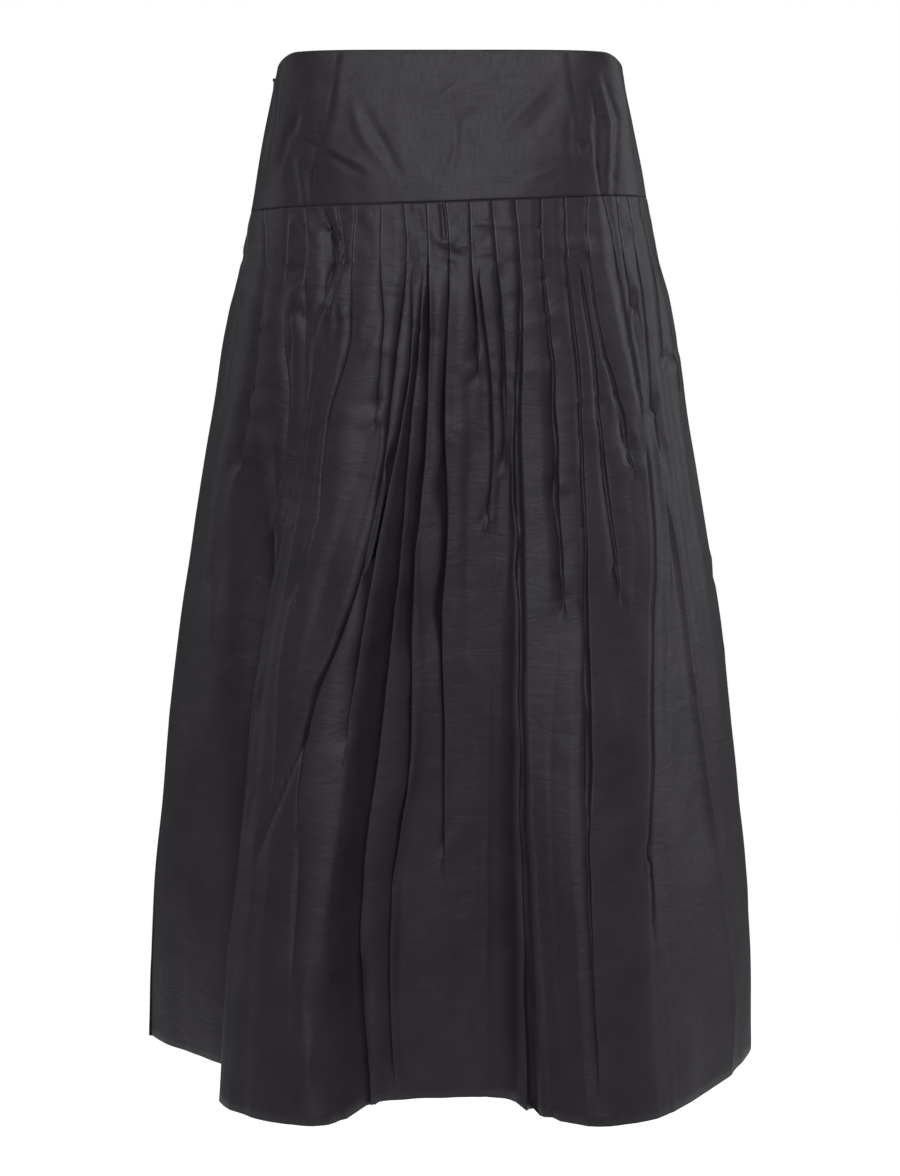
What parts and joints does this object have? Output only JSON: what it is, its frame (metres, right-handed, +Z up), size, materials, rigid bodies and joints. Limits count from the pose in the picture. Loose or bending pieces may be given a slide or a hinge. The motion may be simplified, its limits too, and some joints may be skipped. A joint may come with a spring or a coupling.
{
  "type": "pleated maxi skirt",
  "caption": "Ankle-length skirt with a smooth hip yoke, stitched-down knife pleats that open into deep folds, and a side zip, filled out as if worn.",
  "frame": {"origin": "centre of the waist opening, level with the top edge", "axes": "+X across the skirt to the right seen from the front, -Y to the front, +Z up along the length"},
  "size_m": [0.566, 0.5878, 0.9005],
  "materials": {
    "taffeta": "satin",
    "tape": "matte",
    "slider": "gloss"
  },
  "bodies": {
    "skirt": {"yoke_front": "taffeta", "yoke_back": "taffeta", "skirt_front": "taffeta", "skirt_back": "taffeta", "zip_tape": "tape", "zip_slider": "slider"},
    "pull": {"zip_pull": "slider"}
  },
  "joints": [
    {"name": "pull_swing", "type": "hinge", "parent": "skirt", "child": "pull", "pos_m": [-0.16091, 0, -0.0142], "axis": [0, 1, 0], "range_deg": [0, 150]}
  ]
}
